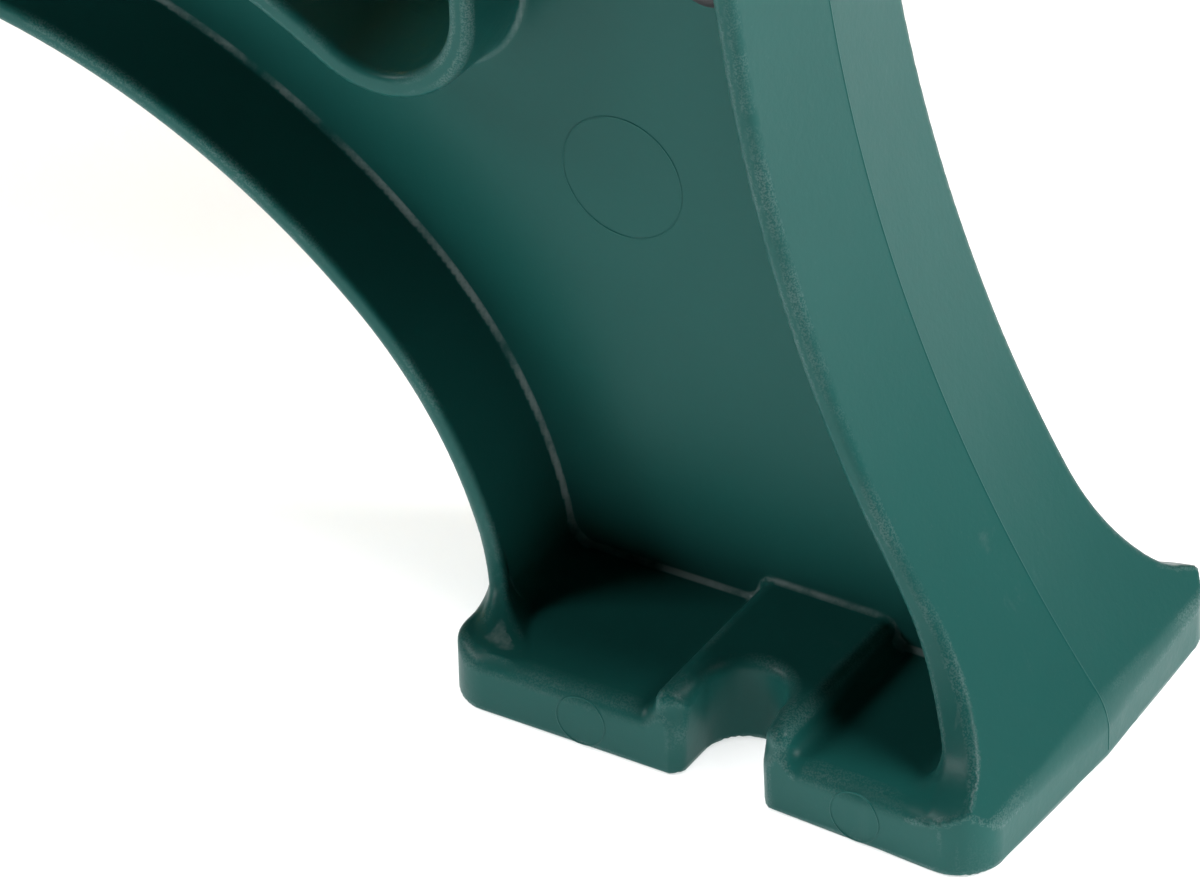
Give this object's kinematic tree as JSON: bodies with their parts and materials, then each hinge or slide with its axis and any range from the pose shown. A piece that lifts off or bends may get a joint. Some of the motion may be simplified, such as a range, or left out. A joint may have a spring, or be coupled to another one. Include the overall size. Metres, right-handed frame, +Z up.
{
  "type": "straight slide",
  "caption": "Freestanding straight slide with two moulded arched side frames, treads, a deck, handrails and an open chute.",
  "frame": {"origin": "middle of the whole slide's length and width, on the ground", "axes": "+X towards the steps, -X towards the chute's exit, +Z up"},
  "size_m": [1.9908, 0.66, 1.1925],
  "materials": {
    "green_plastic": "satin moulded polyethylene",
    "yellow_plastic": "satin moulded polyethylene",
    "beige_plastic": "satin moulded polyethylene",
    "rail_paint": "powder coat",
    "zinc": "galvanised",
    "black_rubber": "matt",
    "black_plastic": "matt"
  },
  "bodies": {
    "root": {"side_frame_near": "green_plastic", "side_frame_far": "green_plastic", "exit_base": "green_plastic", "chute": "yellow_plastic", "deck_panel": "beige_plastic", "tread_lower": "beige_plastic", "tread_upper": "beige_plastic", "handrail_near": "rail_paint", "handrail_far": "rail_paint", "hanger_tube": "zinc", "brace_tube": "zinc", "tube_bolts": "zinc", "tube_washers": "zinc", "exit_screws": "zinc", "rail_screws": "zinc", "deck_bolts": "zinc", "deck_washers": "zinc", "deck_nuts": "zinc", "tread_bolts": "zinc", "tread_washers": "zinc", "tread_nuts": "zinc", "deck_grips": "black_rubber", "tread_grips": "black_rubber", "hanger_sleeves": "black_plastic", "tube_inserts": "black_plastic", "rail_collars": "black_plastic", "bolt_caps": "black_plastic"}
  },
  "joints": []
}
